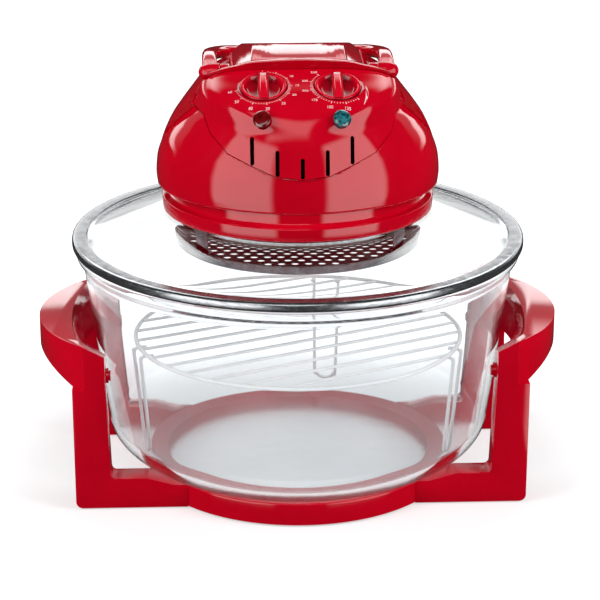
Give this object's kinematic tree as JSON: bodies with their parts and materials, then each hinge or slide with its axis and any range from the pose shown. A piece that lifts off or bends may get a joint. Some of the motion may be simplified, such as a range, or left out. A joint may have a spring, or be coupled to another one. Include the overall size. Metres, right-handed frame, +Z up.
{
  "type": "halogen oven",
  "caption": "Table-top halogen oven: glass bowl in a red stand with crescent grips, wire rack, and a lift-off glass lid carrying a domed red heating head with dials and a folding handle.",
  "frame": {"origin": "centre of the stand's footprint, on the table", "axes": "+Z up, -Y towards the user and the dials, +X to the user's right"},
  "size_m": [0.389, 0.336, 0.328],
  "materials": {
    "red_shell": "high gloss moulded red plastic",
    "knob_red": "high gloss moulded red plastic with white figures",
    "bowl_glass": "clear pressed heat-resistant glass",
    "lid_glass": "clear sagged tempered glass",
    "rim_steel": "polished stainless band",
    "guard_steel": "bright plated perforated sheet",
    "bright_steel": "zinc plated sheet and wire",
    "rack_wire": "bright plated wire",
    "dark_steel": "heat-browned sheet",
    "stator_steel": "stacked laminations",
    "coil_copper": "enamelled copper winding",
    "lamp_quartz": "frosted quartz lamp tube",
    "ceramic": "unglazed ceramic",
    "foot_rubber": "matt black rubber",
    "timer_case": "off-white moulded plastic",
    "black_plastic": "matt black moulded plastic",
    "red_lens": "faceted dark red lens",
    "green_lens": "faceted green lens"
  },
  "bodies": {
    "stand": {"base_ring": "red_shell", "left_frame": "red_shell", "right_frame": "red_shell", "foot_1": "foot_rubber", "foot_2": "foot_rubber", "foot_3": "foot_rubber", "foot_4": "foot_rubber"},
    "bowl": {"glass_bowl": "bowl_glass"},
    "rack": {"rack_grid": "rack_wire", "rack_leg_1": "rack_wire", "rack_leg_2": "rack_wire", "rack_leg_3": "rack_wire"},
    "lid": {"lid_glass": "lid_glass", "lid_rim": "rim_steel", "head_base": "red_shell", "front_cover": "red_shell", "control_panel": "red_shell", "rear_shell": "red_shell", "top_cover": "red_shell", "handle_lug_left": "red_shell", "handle_lug_right": "red_shell", "handle_pin_left": "bright_steel", "handle_pin_right": "bright_steel", "timer_body": "timer_case", "thermostat_body": "bright_steel", "red_lens": "red_lens", "green_lens": "green_lens", "reflector_pan": "dark_steel", "clamp_ring": "bright_steel", "heater_tube": "lamp_quartz", "heater_end_left": "ceramic", "heater_end_right": "ceramic", "heater_clip_1": "bright_steel", "heater_clip_2": "bright_steel", "heater_clip_3": "bright_steel", "heater_guard": "guard_steel", "guard_rim": "guard_steel", "guard_bracket_1": "bright_steel", "guard_bracket_2": "bright_steel", "guard_bracket_3": "bright_steel", "guard_bracket_4": "bright_steel", "heat_shield": "dark_steel", "motor_bracket": "bright_steel", "motor_stator": "stator_steel", "motor_coil": "coil_copper", "safety_switch": "black_plastic", "cord_gland": "black_plastic"},
    "carry_handle": {"carry_handle": "red_shell"},
    "timer_knob": {"timer_knob": "knob_red"},
    "thermostat_knob": {"thermostat_knob": "knob_red"},
    "fan_rotor": {"rotor_shaft": "bright_steel", "convection_fan": "dark_steel", "cooling_fan": "black_plastic"}
  },
  "joints": [
    {"name": "bowl_lift", "type": "slide", "parent": "stand", "child": "bowl", "axis": [0, 0, 1], "range_m": [0, 0.15]},
    {"name": "rack_lift", "type": "slide", "parent": "bowl", "child": "rack", "axis": [0, 0, 1], "range_m": [0, 0.065]},
    {"name": "lid_lift", "type": "slide", "parent": "bowl", "child": "lid", "axis": [0, 0, 1], "range_m": [0, 0.2]},
    {"name": "handle_fold", "type": "hinge", "parent": "lid", "child": "carry_handle", "pos_m": [0, -0.02, 0.3154], "axis": [1, 0, 0], "range_deg": [0, 90]},
    {"name": "timer_turn", "type": "hinge", "parent": "lid", "child": "timer_knob", "pos_m": [-0.0262, -0.053, 0.3119], "axis": [0, -0.3665, 0.9304], "range_deg": [-300, 0]},
    {"name": "thermostat_turn", "type": "hinge", "parent": "lid", "child": "thermostat_knob", "pos_m": [0.0262, -0.053, 0.3119], "axis": [0, -0.3665, 0.9304], "range_deg": [-280, 0]},
    {"name": "fan_spin", "type": "hinge", "parent": "lid", "child": "fan_rotor", "pos_m": [0, 0, 0.23], "axis": [0, 0, 1], "continuous": true}
  ]
}
